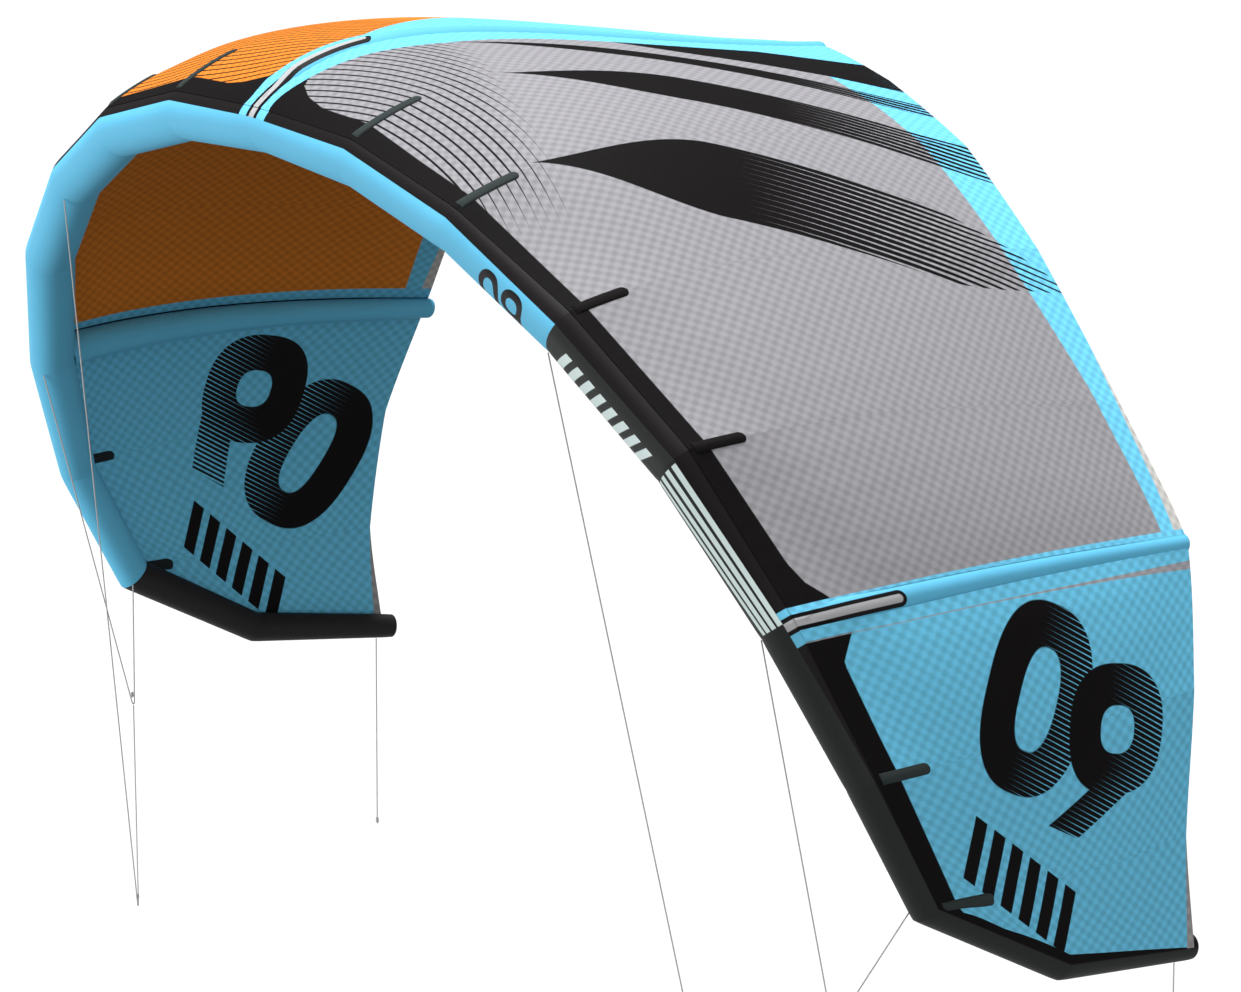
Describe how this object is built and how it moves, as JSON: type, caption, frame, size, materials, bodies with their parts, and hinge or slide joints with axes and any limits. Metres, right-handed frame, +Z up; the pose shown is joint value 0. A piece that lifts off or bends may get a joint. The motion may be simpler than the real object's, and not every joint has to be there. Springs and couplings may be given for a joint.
{
  "type": "kitesurfing kite",
  "caption": "Arched inflatable kite: segmented leading edge tube with mitred bends, cambered canopy panels, air struts, mini battens, two valves and a bridle.",
  "frame": {"origin": "foremost point of the leading edge tube, in the middle of the span, at the height of the tube's axis there", "axes": "+X along the span to the wing tip of the grey and blue half, +Y back from the leading edge to the trailing edge, +Z up, away from the lines"},
  "size_m": [4.466, 1.8252, 2.8457],
  "materials": {
    "sleeve_blue": "smooth coated woven polyester",
    "sleeve_black": "smooth coated woven polyester",
    "canopy_grey": "ripstop, satin",
    "canopy_orange": "ripstop, satin",
    "canopy_blue": "ripstop, satin",
    "bladder_film": "clear film",
    "batten_pocket": "matt woven",
    "line": "braided cord",
    "valve_plastic": "matt"
  },
  "bodies": {
    "kite": {"leading_edge_sleeve_centre": "sleeve_blue", "leading_edge_sleeve_2_right": "sleeve_blue", "leading_edge_sleeve_3_right": "sleeve_blue", "leading_edge_sleeve_4_right": "sleeve_black", "leading_edge_sleeve_5_right": "sleeve_black", "leading_edge_sleeve_6_right": "sleeve_black", "leading_edge_sleeve_7_right": "sleeve_black", "wing_tip_sleeve_right": "sleeve_black", "leading_edge_sleeve_2_left": "sleeve_blue", "leading_edge_sleeve_3_left": "sleeve_blue", "leading_edge_sleeve_4_left": "sleeve_blue", "leading_edge_sleeve_5_left": "sleeve_blue", "leading_edge_sleeve_6_left": "sleeve_blue", "leading_edge_sleeve_7_left": "sleeve_blue", "wing_tip_sleeve_left": "sleeve_black", "leading_edge_bladder": "bladder_film", "centre_strut_sleeve": "sleeve_blue", "side_strut_sleeve_right": "sleeve_blue", "side_strut_sleeve_left": "sleeve_blue", "centre_strut_bladder": "bladder_film", "side_strut_bladder_right": "bladder_film", "side_strut_bladder_left": "bladder_film", "canopy_panel_1_right": "canopy_grey", "canopy_panel_2_right": "canopy_grey", "canopy_panel_3_right": "canopy_grey", "canopy_panel_4_right": "canopy_grey", "canopy_panel_5_right": "canopy_grey", "canopy_panel_6_right": "canopy_blue", "canopy_panel_7_right": "canopy_blue", "canopy_panel_8_right": "canopy_blue", "canopy_panel_1_left": "canopy_orange", "canopy_panel_2_left": "canopy_orange", "canopy_panel_3_left": "canopy_orange", "canopy_panel_4_left": "canopy_orange", "canopy_panel_5_left": "canopy_orange", "canopy_panel_6_left": "canopy_blue", "canopy_panel_7_left": "canopy_blue", "canopy_panel_8_left": "canopy_blue", "mini_batten_1_right": "batten_pocket", "mini_batten_2_right": "batten_pocket", "mini_batten_3_right": "batten_pocket", "mini_batten_4_right": "batten_pocket", "mini_batten_5_right": "batten_pocket", "mini_batten_6_right": "batten_pocket", "mini_batten_1_left": "batten_pocket", "mini_batten_2_left": "batten_pocket", "mini_batten_3_left": "batten_pocket", "mini_batten_4_left": "batten_pocket", "mini_batten_5_left": "batten_pocket", "mini_batten_6_left": "batten_pocket", "bridle_line_upper_right": "line", "bridle_line_lower_right": "line", "bridle_line_upper_left": "line", "bridle_line_lower_left": "line", "inflation_valve": "valve_plastic", "deflation_valve": "valve_plastic"},
    "rear_leader_right": {"rear_line_right": "line"},
    "rear_leader_left": {"rear_line_left": "line"},
    "inflation_cap": {"inflation_valve_cap": "valve_plastic"},
    "deflation_cap": {"deflation_valve_cap": "valve_plastic"}
  },
  "joints": [
    {"name": "rear_line_swing_right", "type": "hinge", "parent": "kite", "child": "rear_leader_right", "pos_m": [2.11015, 1.55034, -2.01361], "axis": [1, 0, 0], "range_deg": [-70, 70]},
    {"name": "rear_line_swing_left", "type": "hinge", "parent": "kite", "child": "rear_leader_left", "pos_m": [-2.11015, 1.55034, -2.01361], "axis": [1, 0, 0], "range_deg": [-70, 70]},
    {"name": "inflation_cap_pull", "type": "slide", "parent": "kite", "child": "inflation_cap", "axis": [-0.0093, 1, 0.0017], "range_m": [0, 0.02]},
    {"name": "deflation_cap_pull", "type": "slide", "parent": "kite", "child": "deflation_cap", "axis": [0.0093, 1, 0.0017], "range_m": [0, 0.02]}
  ]
}
